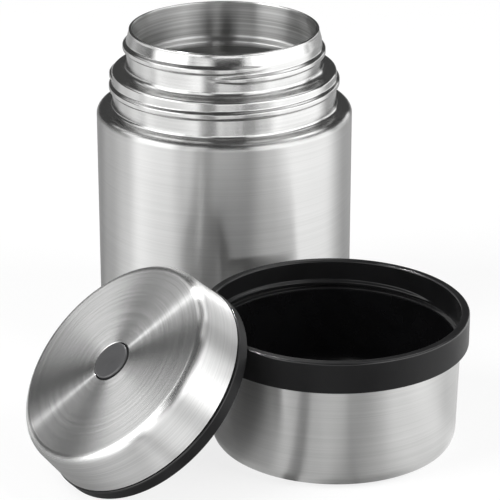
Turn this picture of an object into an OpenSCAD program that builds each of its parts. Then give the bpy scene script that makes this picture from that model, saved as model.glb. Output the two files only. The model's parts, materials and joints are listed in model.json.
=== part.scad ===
// Insulated food jar: a double-wall steel jar, its screw lid with a vent button, and the bowl
// that screws over both. The jar stands open; the bowl stands beside it and the lid leans on it.

/* [Jar] */
// Outside diameter of the jar's body
body_d = 105; // [102:1:120]
// Height of the open jar, foot to mouth
jar_h = 132; // [125:1:200]
// Height of the neck's upper step, which takes the lid
upper_neck_h = 17.3; // [16.5:0.1:20]
// Height of the neck's lower step, which takes the bowl
lower_neck_h = 15.3; // [14:0.1:20]
// Outside diameter of the mouth's lip
mouth_d = 77.6; // [76:0.1:78.4]
// Outside diameter of the neck's upper step
upper_neck_d = 79.8; // [79:0.1:80.6]
// Outside diameter of the neck's lower step
lower_neck_d = 92; // [91:0.1:94]
// Thickness of the jar's steel sheets
sheet = 0.6; // [0.4:0.05:0.8]
// Vacuum gap between the jar's two walls, in the body
vacuum_gap = 4; // [2:0.1:6]
// Radius that rounds the shoulder into the body
shoulder_round = 3.2; // [1:0.1:6]
// Outside radius of the foot's edge
foot_round = 3; // [1:0.1:5]
// Radius between the food vessel's floor and its wall
vessel_round = 12; // [4:0.5:20]
// Free radius inside the sealing bead of the mouth
bead_r = 34.8; // [34:0.1:35.4]
// Depth of the sealing bead's top below the lip
bead_depth = 15.9; // [14:0.1:16]

/* [Screw threads] */
// Rise of every thread in one turn
pitch = 4; // [3.4:0.1:4.6]
// Share of the pitch that a rolled ridge takes up
rolled_share = 0.95; // [0.6:0.01:0.97]
// Height of the rolled ridge on the upper step
upper_ridge_h = 1.6; // [0.8:0.1:2]
// Height of the rolled ridge on the lower step
lower_ridge_h = 1.35; // [0.8:0.05:1.6]
// Share of the pitch that a moulded ridge takes up, in the lid and in the bowl's collar
moulded_share = 0.7; // [0.5:0.01:0.8]
// Free space between the ridges and the bores they turn in
thread_clear = 0.4; // [0.2:0.05:0.6]

/* [Lid] */
// Height of the whole lid, without its button
lid_h = 23.6; // [22:0.1:30]
// Wall of the lid round its thread, with the steel cap
lid_wall = 2; // [1.6:0.1:3]
// How much narrower the steel cap is at its top, on the radius
cap_draft = 1.7; // [0:0.1:1.9]
// Radius of the steel cap's rounded edge
cap_round = 3.8; // [2:0.1:5]
// Thickness of the steel cap
cap_sheet = 0.5; // [0.3:0.05:0.6]
// Height of the lid's plastic rim
rim_h = 5; // [4:0.1:5.6]
// How far the plastic rim stands proud of the steel
rim_proud = 0.5; // [0:0.1:1]
// Shadow gap between the rim and the steel
rim_gap = 0.6; // [0.2:0.1:1]
// Free space between the lid's plug and the mouth
plug_clear = 0.8; // [0.4:0.1:1.2]
// Wall of the lid's plug
plug_wall = 1.6; // [1:0.1:2.4]
// Height of the silicone sealing ring
seal_h = 2.6; // [1.6:0.1:4]

/* [Vent button] */
// Diameter of the vent button
button_d = 14.8; // [10:0.1:18]
// How far the button goes in
button_travel = 2; // [1:0.1:2.4]
// How far the button stands proud of the cap
button_proud = 0.7; // [0:0.1:1.5]
// Running clearance round the button
button_clear = 0.05; // [0.02:0.01:0.1]
// Wall of the sleeve that the button slides in
sleeve_wall = 1.2; // [0.8:0.1:2]
// Gap between the cap's hole and the button
hole_gap = 0.55; // [0.4:0.05:1]
// Diameter of the valve's stem
stem_d = 3; // [2:0.1:4]
// Diameter of the vent hole
vent_d = 5; // [4.6:0.1:6]
// Diameter of the valve's rubber washer
valve_d = 9.4; // [8:0.1:12]
// Wire of the return spring
spring_wire = 0.6; // [0.4:0.1:0.8]
// Turns of the return spring
spring_turns = 6; // [3:1:8]

/* [Bowl] */
// Height of the bowl
bowl_h = 52.5; // [46:0.5:70]
// Height of the bowl's threaded collar
collar_h = 12; // [11:0.1:14]
// Wall of the collar round its thread
collar_wall = 3.3; // [3:0.1:4.5]
// Thickness of the bowl's steel shell
shell_sheet = 0.5; // [0.3:0.05:0.7]
// How much narrower the shell is at its foot, on the radius
shell_draft = 1.1; // [0:0.1:3]
// Radius of the shell's lower edge
shell_round = 5.5; // [2:0.5:10]
// Wall of the bowl's plastic liner
liner_wall = 1.1; // [0.8:0.1:2]
// Air space under the liner's floor
liner_lift = 6; // [3:0.5:12]
// Radius between the liner's floor and its wall
liner_round = 9; // [4:0.5:14]

/* [Layout] */
// Free space between the jar's body and the bowl's collar
bowl_gap = 9.3; // [2:0.1:40]
// Bearing of the bowl seen from the jar, in degrees from +X
bowl_bearing = -67.8; // [-110:0.1:-40]
// Bearing of the lid seen from the bowl, in degrees from +X
lid_bearing = -148.7; // [-170:0.1:-130]
// Angle of the leaning lid's axis above the table
lid_lean = 46.3; // [35:0.1:60]
// How far the lid's foot stands to the side of the bowl's middle
lid_aside = 11; // [0:0.1:16]
// Clearance between the leaning lid and the bowl's collar
lean_gap = 0.3; // [0.1:0.05:1]

/* [Hidden] */
$fn = 96;

arc_steps = 7;        // pieces of a rounded corner
turn_steps = 48;      // pieces of one turn of a thread
root_depth = 0.42;    // depth of a ridge's root inside its wall
edge_depth = 0.12;    // depth of a ridge's edges inside its wall
fade = 24;            // degrees over which a ridge runs out
joint_gap = 0.05;     // air between pieces that are pushed together

// jar
body_r = body_d / 2;
ledge_z = jar_h - upper_neck_h;
shoulder_z = ledge_z - lower_neck_h;
lip_r = mouth_d / 2;
upper_r = upper_neck_d / 2;
lower_r = lower_neck_d / 2;
upper_crest = upper_r + upper_ridge_h;
lower_crest = lower_r + lower_ridge_h;
lip_straight = 1;                      // length of the weld between the two walls
lip_flare = 4;                         // height over which the lip widens to the neck
upper_run = [-100, 300];               // angles between which the upper ridge runs
lower_run = [-215, 200];               // the same for the lower ridge
// height of each ridge on the +X side, so that its upper end stays under the lip or the ledge
upper_mid = jar_h - lip_straight - lip_flare + 0.7
    - pitch * ((upper_run[1] - fade) / 360 + rolled_share / 2);
lower_mid = ledge_z - 0.8 - pitch * ((lower_run[1] - fade) / 360 + rolled_share / 2);
mouth_r = lip_r - 2 * sheet;
bead_z = jar_h - bead_depth;
throat_r = lower_r - 2 * sheet - 1.5;  // vessel's inside within the lower step
vessel_r = body_r - 2 * sheet - vacuum_gap;
plate_z = 5;                           // underside of the vacuum's bottom plate
plate_skirt = 6;                       // height of the plate's welded edge
vessel_floor = plate_z + 2 * sheet + vacuum_gap + 2.5;
cap_wall = 0.6;                        // straight edge of the base cap above its rounding
foil = 0.15;                           // thickness of the reflector foil
vent_hole_r = 1.4;                     // evacuation hole in the bottom plate
getter_r = 4;
getter_h = 2.2;
getter_x = 18;                         // getter's distance from the middle
clip_t = 0.3;                          // getter strap's thickness
clip_w = 3;                            // getter strap's width

// lid, in its own frame: the rim's underside at 0, the button on +Z
bore_r = upper_crest + thread_clear;
cap_foot_r = bore_r + lid_wall;
cap_top_r = cap_foot_r - cap_draft;
rim_r = cap_foot_r + rim_proud;
rim_edge = 0.6;                        // radius of the rim's edges
skirt_z = rim_h + rim_gap;
cap_slope = cap_draft / (lid_h - skirt_z);
cap_in = cap_sheet + joint_gap;        // from the cap's outside to the body's
seal_z = 0.3;                          // underside of the sealing ring
seal_lip = 0.9;                        // thickness of the ring under the plug
socket_h = bead_depth + seal_z + 0.9;  // depth of the socket that takes the neck
socket_r = upper_r + thread_clear;
deep_z = socket_h - 3.6;               // where the threaded bore narrows
ceiling = 2;
lid_deck = lid_h - cap_in;
pocket_r = cap_top_r - cap_in - 3;
plug_r = mouth_r - plug_clear;
plug_in = plug_r - plug_wall;
plug_floor = seal_z + seal_lip;
groove = 1;                            // depth of the sealing ring's groove
seal_r = mouth_r - 0.2;
seal_in = plug_r - 4.6;
button_r = button_d / 2;
sleeve_in = button_r + button_clear;
sleeve_out = sleeve_in + sleeve_wall;
sleeve_top = lid_h - 0.9;
hole_r = button_r + hole_gap;
button_top = lid_h + button_proud;
button_foot = button_top - 6.4;
stop_w = 0.9;                          // width of the step that stops the button
button_wall = 1.2;
button_deck = button_top - 1.8;        // underside of the button's top
boss_r = 2.9;                          // button's boss, which holds the stem
boss_h = 3;
stem_r = stem_d / 2;
valve_r = valve_d / 2;
well_r = valve_r + 1;                  // recess that the washer seats in
well_z = plug_floor + 2.4;
seat_z = well_z + plug_wall;           // top of the plug's floor round the vent
washer_h = 1.3;
washer_z = well_z - joint_gap - washer_h;
clip_h = 0.6;
groove_r = stem_r * 0.7;               // stem inside its clip
stem_foot = washer_z - clip_h - 0.5;
spring_r = boss_r + joint_gap + spring_wire / 2 + 0.25;
spring_seat = spring_r + spring_wire / 2 + 0.2;

// bowl, in its own frame: the foot at 0
collar_in = lower_crest + thread_clear;
collar_r = collar_in + collar_wall;
collar_z = bowl_h - collar_h;
collar_edge = 0.8;                     // radius of the collar's outer edge
skin_r = collar_r - 3.1;               // outside of the shell under the collar
shell_in = skin_r - shell_sheet;
shell_top = collar_z + 0.5;
seal_t = 0.3;                          // thickness of the collar's sealing ring
liner_out = shell_in - 0.15;
liner_in = liner_out - liner_wall;
liner_top = collar_z + 0.3;
collar_turn = 9.3;                     // depth of the collar's ridge at the back
moulded_h = 1.1;

// layout
bowl_far = body_r + collar_r + bowl_gap;
bowl_x = bowl_far * cos(bowl_bearing);
bowl_y = bowl_far * sin(bowl_bearing);
// height of the rim's middle when its rounded edge touches down
rim_low = (rim_r - rim_edge) * cos(lid_lean) + rim_edge * (1 - sin(lid_lean));
// from the bowl's middle to the rim's, so that the sealing ring just clears the collar's edge
edge_z = bowl_h - collar_edge;
edge_reach = (edge_z - rim_low) * sin(lid_lean) + collar_edge - seal_z + lean_gap;
lean_out = collar_r - collar_edge + edge_reach / cos(lid_lean);
lid_x = bowl_x + lean_out * cos(lid_bearing) + lid_aside * sin(lid_bearing);
lid_y = bowl_y + lean_out * sin(lid_bearing) - lid_aside * cos(lid_bearing);

// Outlines

function unit(v) = v / norm(v);

// Arc that rounds corner p between a and b with radius r
function arc(a, p, b, r) =
    let (u = unit(a - p), v = unit(b - p), half = acos(u * v) / 2)
    let (c = p + unit(u + v) * r / sin(half), s = p + u * r / tan(half), e = p + v * r / tan(half))
    let (a0 = atan2(s[1] - c[1], s[0] - c[0]), a1 = atan2(e[1] - c[1], e[0] - c[0]))
    let (turn = a1 - a0 > 180 ? a1 - a0 - 360 : a1 - a0 < -180 ? a1 - a0 + 360 : a1 - a0)
    [for (i = [0:arc_steps]) c + r * [cos(a0 + turn * i / arc_steps), sin(a0 + turn * i / arc_steps)]];

function spot(q) = [q[0], q[1]];

// Path through points [r, z, radius]; a corner with no radius stays sharp
function path(q) = [
    for (i = [0:len(q) - 1])
        for (p = i == 0 || i == len(q) - 1 || len(q[i]) < 3
            ? [spot(q[i])] : arc(spot(q[i - 1]), spot(q[i]), spot(q[i + 1]), q[i][2])) p];

// Path moved sideways by t, to its left
function beside(p, t) = [
    for (i = [0:len(p) - 1])
        let (back = i > 0 ? unit(p[i] - p[i - 1]) : unit(p[1] - p[0]))
        let (ahead = i < len(p) - 1 ? unit(p[i + 1] - p[i]) : back)
        let (side = unit(back + ahead), miter = side * ahead)
        p[i] + t / miter * [-side[1], side[0]]];

function reversed(p) = [for (i = [len(p) - 1:-1:0]) p[i]];

// Solid of revolution of a sheet of thickness t that lies to the left of path p
module spun_sheet(p, t) {
    rotate_extrude() polygon(concat(p, reversed(beside(p, t))));
}

module spun(q) {
    rotate_extrude() polygon(path(q));
}

module ring(r_in, r_out, z0, z1) {
    translate([0, 0, z0]) difference() {
        cylinder(r = r_out, h = z1 - z0);
        translate([0, 0, -1]) cylinder(r = r_in, h = z1 - z0 + 2);
    }
}

// Helical ridge on a wall of radius r: height h (below 0 it points inwards), width w,
// between the two angles of turn, and z_mid at angle 0. flat is the share of the width that is
// its crest. Its edges and its ends dip into the wall.
module ridge(r, h, w, turn, z_mid, flat) {
    a0 = turn[0];
    a1 = turn[1];
    sections = ceil((a1 - a0) / 360 * turn_steps);
    bumps = 6;
    count = bumps + 3;
    dir = sign(h);
    full = abs(h) + edge_depth;
    function shape(t) = let (x = min(1, (1 - abs(2 * t - 1)) / (1 - flat))) (1 - cos(180 * x)) / 2;
    function run(a) = let (x = max(0.05, min(1, (a - a0) / fade, (a1 - a) / fade))) x * x * (3 - 2 * x);
    points = [
        for (s = [0:sections])
            let (a = a0 + (a1 - a0) * s / sections, z = z_mid + pitch * a / 360)
            for (j = [0:count - 1])
                let (t = j > bumps ? (j == bumps + 1 ? 1 : 0) : j / bumps)
                let (rise = j > bumps ? -root_depth : full * shape(t) * run(a) - edge_depth)
                let (d = r + dir * rise)
                [d * cos(a), d * sin(a), z + w * (0.4 + 0.6 * run(a)) * (t - 0.5)]];
    sides = [
        for (s = [0:sections - 1])
            for (j = [0:count - 1])
                let (k = (j + 1) % count, p = s * count, q = p + count)
                for (f = [[p + j, p + k, q + k], [p + j, q + k, q + j]]) dir > 0 ? f : reversed(f)];
    first = [for (j = [0:count - 1]) j];
    last = [for (j = [0:count - 1]) sections * count + j];
    ends = dir > 0 ? [reversed(first), last] : [first, reversed(last)];
    polyhedron(points, concat(sides, ends), convexity = 8);
}

// Jar

steel = [0.78, 0.78, 0.78];
black = [0.09, 0.09, 0.10];
silicone = [0.75, 0.75, 0.73];

module outer_shell() {
    color(steel) union() {
        spun_sheet(path([
            [body_r, foot_round + cap_wall],
            [body_r, shoulder_z, shoulder_round],
            [lower_r, shoulder_z, 1.6],
            [lower_r, ledge_z, 1],
            [upper_r, ledge_z, 2.4],
            [upper_r, jar_h - lip_straight - lip_flare, 4],
            [lip_r, jar_h - lip_straight, 2],
            [lip_r, jar_h]]), sheet);
        ridge(upper_r, upper_ridge_h, rolled_share * pitch, upper_run, upper_mid, 0.25);
        ridge(lower_r, lower_ridge_h, rolled_share * pitch, lower_run, lower_mid, 0.25);
    }
}

module inner_vessel() {
    color(steel) spun_sheet(path([
        [mouth_r, jar_h],
        [mouth_r, bead_z + 0.6, 1.2],
        [bead_r, bead_z - 0.5, 0.8],
        [bead_r, bead_z - 2.6, 1],
        [throat_r, ledge_z - 7, 3],
        [throat_r, shoulder_z - 3, 4],
        [vessel_r, shoulder_z - 9, 5],
        [vessel_r, vessel_floor, vessel_round],
        [0, vessel_floor]]), sheet);
}

// Foil that wraps the food vessel inside the vacuum
module reflector_foil() {
    color("goldenrod") ring(vessel_r + sheet, vessel_r + sheet + foil,
        vessel_floor + vessel_round, shoulder_z - 13);
}

// Bottom plate of the vacuum, welded inside the body
module vacuum_base() {
    edge_r = body_r - sheet;
    color(steel) difference() {
        spun_sheet(path([
            [0, plate_z],
            [edge_r, plate_z, 2],
            [edge_r, plate_z + plate_skirt]]), sheet);
        translate([0, 0, plate_z - 1]) cylinder(r = vent_hole_r, h = sheet + 2);
    }
}

// Solder that closes the evacuation hole
module seal_bead() {
    color("dimgray") union() {
        translate([0, 0, plate_z]) cylinder(r = vent_hole_r, h = sheet);
        translate([0, 0, plate_z - 0.5]) cylinder(r = vent_hole_r + 0.9, h = 0.5);
    }
}

module getter() {
    color("gray") translate([getter_x, 0, plate_z + sheet]) cylinder(r = getter_r, h = getter_h);
}

// Strap that holds the getter on the bottom plate
module getter_clip() {
    foot = 2.5;
    inner = getter_r + 0.1;
    color(steel) translate([getter_x, -clip_w / 2, plate_z + sheet]) union() {
        for (side = [-1, 1]) {
            translate([side * (inner + foot / 2) - foot / 2, 0, 0]) cube([foot, clip_w, clip_t]);
            translate([side * (inner + clip_t / 2) - clip_t / 2, 0, 0])
                cube([clip_t, clip_w, getter_h + clip_t]);
        }
        translate([-inner, 0, getter_h]) cube([2 * inner, clip_w, clip_t]);
    }
}

module base_cap() {
    bead = body_r - foot_round - 5;
    color(steel) spun_sheet(path([
        [0, 0],
        [bead - 4, 0, 0.8],
        [bead - 3, 1, 0.8],
        [bead - 1, 1, 0.8],
        [bead, 0, 0.8],
        [body_r, 0, foot_round],
        [body_r, foot_round + cap_wall]]), sheet);
}

// Lid

module on_lid() {
    translate([lid_x, lid_y, rim_low]) rotate([0, 90 - lid_lean, lid_bearing]) children();
}

// Radius of the cap's outside at height z
function cap_at(z) = cap_foot_r - cap_slope * (z - skirt_z);

module lid_cap() {
    color(steel) on_lid() spun_sheet(path([
        [cap_foot_r, skirt_z],
        [cap_top_r, lid_h, cap_round],
        [hole_r, lid_h, 0.4],
        [hole_r, lid_h - 0.8]]), cap_sheet);
}

module lid_body() {
    color(black) on_lid() union() {
        spun([
            [bore_r, 0],
            [rim_r, 0, rim_edge],
            [rim_r, rim_h, rim_edge],
            [cap_at(rim_h) - cap_in, rim_h],
            [cap_at(lid_deck) - cap_in, lid_deck, cap_round - cap_in],
            [pocket_r, lid_deck],
            [pocket_r, socket_h + ceiling],
            [plug_in, socket_h + ceiling],
            [plug_in, socket_h],
            [socket_r, socket_h, 0.5],
            [socket_r, deep_z],
            [bore_r, deep_z - 1.2]]);
        ridge(bore_r, -moulded_h, moulded_share * pitch, [-100, 250], 6.2, 0.4);
    }
}

// Cup that hangs into the mouth and holds the foam
module lid_plug() {
    brim = seat_z + 1.6;
    color([0.16, 0.16, 0.17]) on_lid() spun([
        [vent_d / 2, well_z],
        [well_r, well_z],
        [well_r, plug_floor],
        [plug_r - groove, plug_floor],
        [plug_r - groove, seal_z + seal_h],
        [plug_r, seal_z + seal_h],
        [plug_r, socket_h],
        [plug_in, socket_h],
        [plug_in, plug_floor + plug_wall, 1],
        [sleeve_out + 0.6, plug_floor + plug_wall, 0.5],
        [sleeve_out + 0.6, seat_z],
        [spring_seat + 1, seat_z],
        [spring_seat + 1, brim],
        [spring_seat, brim],
        [spring_seat, seat_z],
        [vent_d / 2, seat_z]]);
}

module foam_core() {
    low = plug_floor + plug_wall + joint_gap;
    color("wheat") on_lid() spun([
        [sleeve_out + 0.7, low],
        [plug_in - joint_gap, low, 1.1],
        [plug_in - joint_gap, socket_h + ceiling + joint_gap],
        [pocket_r - joint_gap, socket_h + ceiling + joint_gap],
        [pocket_r - joint_gap, lid_h - cap_in],
        [sleeve_out + 0.7, lid_h - cap_in]]);
}

module seal_ring() {
    color(silicone) on_lid() spun([
        [seal_in, seal_z],
        [seal_r, seal_z, 0.5],
        [seal_r, seal_z + seal_h, 0.5],
        [plug_r - groove, seal_z + seal_h],
        [plug_r - groove, plug_floor],
        [seal_in, plug_floor]]);
}

// Tube that guides the button; its step stops the button's foot
module button_sleeve() {
    stop_z = button_foot - button_travel - joint_gap;
    color(black) on_lid() spun([
        [sleeve_in - stop_w, seat_z],
        [sleeve_out, seat_z],
        [sleeve_out, sleeve_top],
        [sleeve_in, sleeve_top],
        [sleeve_in, stop_z],
        [sleeve_in - stop_w, stop_z]]);
}

// Return spring: a coil of round wire between the plug's floor and the button
module vent_spring() {
    sides = 6;
    coil_steps = 14;
    low = seat_z + spring_wire / 2;
    high = button_deck - spring_wire / 2;
    steps = spring_turns * coil_steps;
    points = [
        for (s = [0:steps])
            let (a = 360 * s / coil_steps, z = low + (high - low) * s / steps)
            for (j = [0:sides - 1])
                let (b = 360 * j / sides, d = spring_r + spring_wire / 2 * cos(b))
                [d * cos(a), d * sin(a), z + spring_wire / 2 * sin(b)]];
    walls = [
        for (s = [0:steps - 1])
            for (j = [0:sides - 1])
                let (k = (j + 1) % sides, p = s * sides, q = p + sides)
                [p + j, p + k, q + k, q + j]];
    first = [for (j = [sides - 1:-1:0]) j];
    last = [for (j = [0:sides - 1]) steps * sides + j];
    color("silver") on_lid() polyhedron(points, concat(walls, [first, last]), convexity = 8);
}

module vent_button() {
    color([0.24, 0.24, 0.25]) on_lid() spun([
        [stem_r + joint_gap, button_deck - boss_h],
        [boss_r, button_deck - boss_h],
        [boss_r, button_deck],
        [button_r - button_wall, button_deck],
        [button_r - button_wall, button_foot],
        [button_r, button_foot],
        [button_r, button_top, 0.6],
        [0, button_top],
        [0, button_deck],
        [stem_r + joint_gap, button_deck]]);
}

module valve_stem() {
    color(black) on_lid() spun([
        [0, stem_foot],
        [stem_r, stem_foot],
        [stem_r, washer_z - clip_h],
        [groove_r, washer_z - clip_h],
        [groove_r, washer_z],
        [stem_r, washer_z],
        [stem_r, button_deck],
        [0, button_deck]]);
}

module valve_washer() {
    color(silicone) on_lid() ring(stem_r, valve_r, washer_z, washer_z + washer_h);
}

module stem_clip() {
    color(steel) on_lid() ring(groove_r, stem_r + 1.4, washer_z - clip_h, washer_z);
}

// Bowl

module on_bowl() {
    translate([bowl_x, bowl_y, 0]) children();
}

module bowl_shell() {
    foot_r = skin_r - shell_draft;
    bead = foot_r - shell_round - 2;
    color(steel) on_bowl() spun_sheet(path([
        [0, 0],
        [bead - 3.4, 0, 0.7],
        [bead - 2.6, 0.8, 0.7],
        [bead - 0.8, 0.8, 0.7],
        [bead, 0, 0.7],
        [foot_r, 0, shell_round],
        [skin_r, shell_top]]), shell_sheet);
}

module bowl_collar() {
    slot_top = shell_top + seal_t;
    color(black) on_bowl() union() {
        spun([
            [skin_r + joint_gap, collar_z],
            [collar_r, collar_z, 0.4],
            [collar_r, bowl_h, collar_edge],
            [collar_in, bowl_h, 0.6],
            [collar_in, slot_top + 0.5],
            [liner_in, slot_top + 0.1],
            [liner_in, liner_top],
            [shell_in - joint_gap, liner_top],
            [shell_in - joint_gap, slot_top],
            [skin_r + joint_gap, slot_top]]);
        ridge(collar_in, -moulded_h, moulded_share * pitch, [30, 330],
            bowl_h - collar_turn - pitch / 4, 0.4);
    }
}

module bowl_liner() {
    color([0.05, 0.05, 0.06]) on_bowl() spun_sheet(path([
        [0, liner_lift],
        [liner_out - shell_draft - 0.6, liner_lift, liner_round],
        [liner_out, liner_top - 2 * joint_gap]]), liner_wall);
}

// Ring that seals the shell's edge in the collar
module collar_seal() {
    color(silicone) on_bowl() ring(shell_in - joint_gap, skin_r + joint_gap,
        shell_top + joint_gap, shell_top + seal_t);
}

outer_shell();
inner_vessel();
reflector_foil();
vacuum_base();
seal_bead();
getter();
getter_clip();
base_cap();
lid_cap();
lid_body();
lid_plug();
foam_core();
seal_ring();
button_sleeve();
vent_spring();
vent_button();
valve_stem();
valve_washer();
stem_clip();
bowl_shell();
bowl_collar();
bowl_liner();
collar_seal();
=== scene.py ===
import json
import math

import bpy
import numpy as np
from mathutils import Matrix, Vector


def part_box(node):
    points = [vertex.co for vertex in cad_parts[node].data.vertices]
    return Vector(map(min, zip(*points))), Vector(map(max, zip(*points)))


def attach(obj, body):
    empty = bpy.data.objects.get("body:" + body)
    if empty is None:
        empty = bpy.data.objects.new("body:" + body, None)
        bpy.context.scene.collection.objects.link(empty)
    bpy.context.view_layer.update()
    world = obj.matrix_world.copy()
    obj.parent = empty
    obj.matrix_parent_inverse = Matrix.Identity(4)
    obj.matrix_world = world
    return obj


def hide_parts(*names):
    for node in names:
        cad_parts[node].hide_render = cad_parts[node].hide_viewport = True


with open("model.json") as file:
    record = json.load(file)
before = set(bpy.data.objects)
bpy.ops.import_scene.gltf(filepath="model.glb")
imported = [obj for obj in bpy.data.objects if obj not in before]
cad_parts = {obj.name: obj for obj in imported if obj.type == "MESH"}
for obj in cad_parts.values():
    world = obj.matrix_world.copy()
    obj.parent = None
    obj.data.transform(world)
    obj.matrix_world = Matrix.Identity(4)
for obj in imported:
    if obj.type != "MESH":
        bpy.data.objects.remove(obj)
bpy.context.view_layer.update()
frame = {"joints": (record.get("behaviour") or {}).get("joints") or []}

mm = 0.001
tau = 2 * math.pi
scene = bpy.context.scene
scene.view_settings.view_transform = "Standard"


cameraSettings = {
    "place": (10.9, -939.4, 409.5),  # mm
    "pitchDown": 21.767,             # degrees below the horizon
    "turn": 0.021,                   # degrees to the left of +Y
    "lens": 172.8,                   # mm, on the sensor's width
    "sensor": 36,                    # mm
    "reach": (0.05, 50),             # m from the camera, the nearest and farthest that it sees
}


def makeCamera(s):
    data = bpy.data.cameras.new("camera")
    data.lens = s["lens"]
    data.sensor_width = s["sensor"]
    data.clip_start, data.clip_end = s["reach"]
    camera = bpy.data.objects.new("camera", data)
    camera.location = Vector(s["place"]) * mm
    camera.rotation_euler = (math.radians(90 - s["pitchDown"]), 0, math.radians(s["turn"]))
    scene.collection.objects.link(camera)
    scene.camera = camera


makeCamera(cameraSettings)
print("camera made")


# where the jar, the lid and the bowl stand, from the frame

def middleOf(node):
    low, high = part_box(node)
    return (low + high) / 2


def jointAxis(name):
    return Vector(next(j["axis"] for j in frame["joints"] if j["name"] == name)).normalized()


jarPlace = Matrix.Identity(4)

collarMiddle = middleOf("bowl_collar")
bowlPlace = Matrix.Translation((collarMiddle.x, collarMiddle.y, 0))

sleeveMiddle = 13.95 * mm              # height of the sleeve's middle above the lid's rim
lidAxis = jointAxis("lid_lift")
lidOrigin = middleOf("button_sleeve") - lidAxis * sleeveMiddle
lidLean = math.acos(lidAxis.z)
lidTurn = math.atan2(lidAxis.y, lidAxis.x)
lidPlace = (Matrix.Translation(lidOrigin)
            @ Matrix.Rotation(lidTurn, 4, "Z") @ Matrix.Rotation(lidLean, 4, "Y"))


# small helpers for shader nodes

def add(tree, kind, settings=None, inputs=None):
    # a node with its settings, and each input given a number or linked from another socket
    node = tree.nodes.new(kind)
    for key, value in (settings or {}).items():
        setattr(node, key, value)
    for key, value in (inputs or {}).items():
        if isinstance(value, bpy.types.NodeSocket):
            tree.links.new(value, node.inputs[key])
        else:
            node.inputs[key].default_value = value
    return node


def maths(tree, operation, *values):
    node = add(tree, "ShaderNodeMath", {"operation": operation}, dict(enumerate(values)))
    return node.outputs[0]


def plus(tree, first, second):
    return maths(tree, "ADD", first, second)


def minus(tree, first, second):
    return maths(tree, "SUBTRACT", first, second)


def times(tree, first, second):
    return maths(tree, "MULTIPLY", first, second)


def weighted(tree, start, *parts):
    # the start plus each part's value times its weight
    total = start
    for value, weight in parts:
        total = maths(tree, "MULTIPLY_ADD", value, weight, total)
    return total


def remap(tree, value, before, after, smooth=False):
    kind = "SMOOTHSTEP" if smooth else "LINEAR"
    return add(tree, "ShaderNodeMapRange", {"interpolation_type": kind}, {
        "Value": value, "From Min": before[0], "From Max": before[1],
        "To Min": after[0], "To Max": after[1]}).outputs[0]


def blend(tree, share, first, second):
    return add(tree, "ShaderNodeMix", None, {0: share, 2: first, 3: second}).outputs[0]


def blendColours(tree, share, first, second):
    return add(tree, "ShaderNodeMix", {"data_type": "RGBA"}, {
        0: share, 6: (*first, 1), 7: (*second, 1)}).outputs[2]


def noise(tree, vector, scale, detail=2.0, rough=0.5):
    return add(tree, "ShaderNodeTexNoise", None, {
        "Vector": vector, "Scale": scale, "Detail": detail, "Roughness": rough}).outputs[0]


def partsOf(tree, vector):
    return add(tree, "ShaderNodeSeparateXYZ", None, {0: vector}).outputs


def objectPlace(tree):
    return add(tree, "ShaderNodeTexCoord").outputs["Object"]


def attribute(tree, name, output="Fac"):
    return add(tree, "ShaderNodeAttribute", {"attribute_name": name}).outputs[output]


def bumpOf(tree, strength, distance, height):
    return add(tree, "ShaderNodeBump", None, {
        "Strength": strength, "Distance": distance, "Height": height}).outputs[0]


def newGroup(name, inputs, outputs):
    tree = bpy.data.node_groups.new(name, "ShaderNodeTree")
    for label, kind in inputs.items():
        tree.interface.new_socket(label, in_out="INPUT", socket_type=kind)
    for label in outputs:
        tree.interface.new_socket(label, in_out="OUTPUT", socket_type="NodeSocketFloat")
    return tree, tree.nodes.new("NodeGroupInput").outputs, tree.nodes.new("NodeGroupOutput").inputs


def useGroup(tree, group, inputs):
    return add(tree, "ShaderNodeGroup", {"node_tree": group}, inputs).outputs


def newMaterial(name, plain):
    # a Principled shader with the numbers that are the same all over the surface
    material = bpy.data.materials.new(name)
    material.use_nodes = True
    tree = material.node_tree
    tree.nodes.clear()
    shader = add(tree, "ShaderNodeBsdfPrincipled", None, plain)
    add(tree, "ShaderNodeOutputMaterial", None, {0: shader.outputs[0]})
    return material, tree, shader


def makeBrushLines():
    # brush lines: noise that changes fast across the lines and slowly along them, read from
    # (cos a, sin a, way) of the brush attribute; Fine is the scratches, Rings their slow bands
    tree, inside, out = newGroup("brushLines", {
        "Vector": "NodeSocketVector", "Across": "NodeSocketFloat",
        "Along": "NodeSocketFloat"}, ["Fine", "Rings"])
    cosine, sine, way = partsOf(tree, inside["Vector"])

    def stretched(across, along):
        return add(tree, "ShaderNodeCombineXYZ", None, {
            0: times(tree, cosine, along), 1: times(tree, sine, along),
            2: times(tree, way, across)}).outputs[0]

    fine = noise(tree, stretched(inside["Across"], inside["Along"]), 1.0, 3.0, 0.6)
    rings = noise(tree, stretched(times(tree, inside["Across"], 0.4),
                                  times(tree, inside["Along"], 0.35)), 1.0)
    for label, lines in (("Fine", fine), ("Rings", rings)):
        tree.links.new(remap(tree, lines, (0.3, 0.7), (0, 1)), out[label])
    return tree


def makeHandling():
    # marks from use: two sizes of soft blotch in object space, from 0 to 1
    tree, inside, out = newGroup("handling", {
        "Vector": "NodeSocketVector", "Size": "NodeSocketFloat"}, ["Blotch"])
    wide = noise(tree, inside["Vector"], inside["Size"], 3.0, 0.55)
    small = noise(tree, inside["Vector"], times(tree, inside["Size"], 5.5))
    both = weighted(tree, 0, (wide, 0.7), (small, 0.3))
    tree.links.new(remap(tree, both, (0.36, 0.64), (0, 1), True), out["Blotch"])
    return tree


def makeGrain():
    # fine grain of a moulded surface: small cells with noise in them
    tree, inside, out = newGroup("mouldedGrain", {
        "Vector": "NodeSocketVector", "Scale": "NodeSocketFloat"}, ["Grain"])
    cells = add(tree, "ShaderNodeTexVoronoi", {"feature": "SMOOTH_F1"}, {
        "Vector": inside["Vector"], "Scale": inside["Scale"]}).outputs[0]
    dust = noise(tree, inside["Vector"], times(tree, inside["Scale"], 1.7))
    tree.links.new(weighted(tree, 0, (cells, 0.6), (dust, 0.4)), out["Grain"])
    return tree


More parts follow.
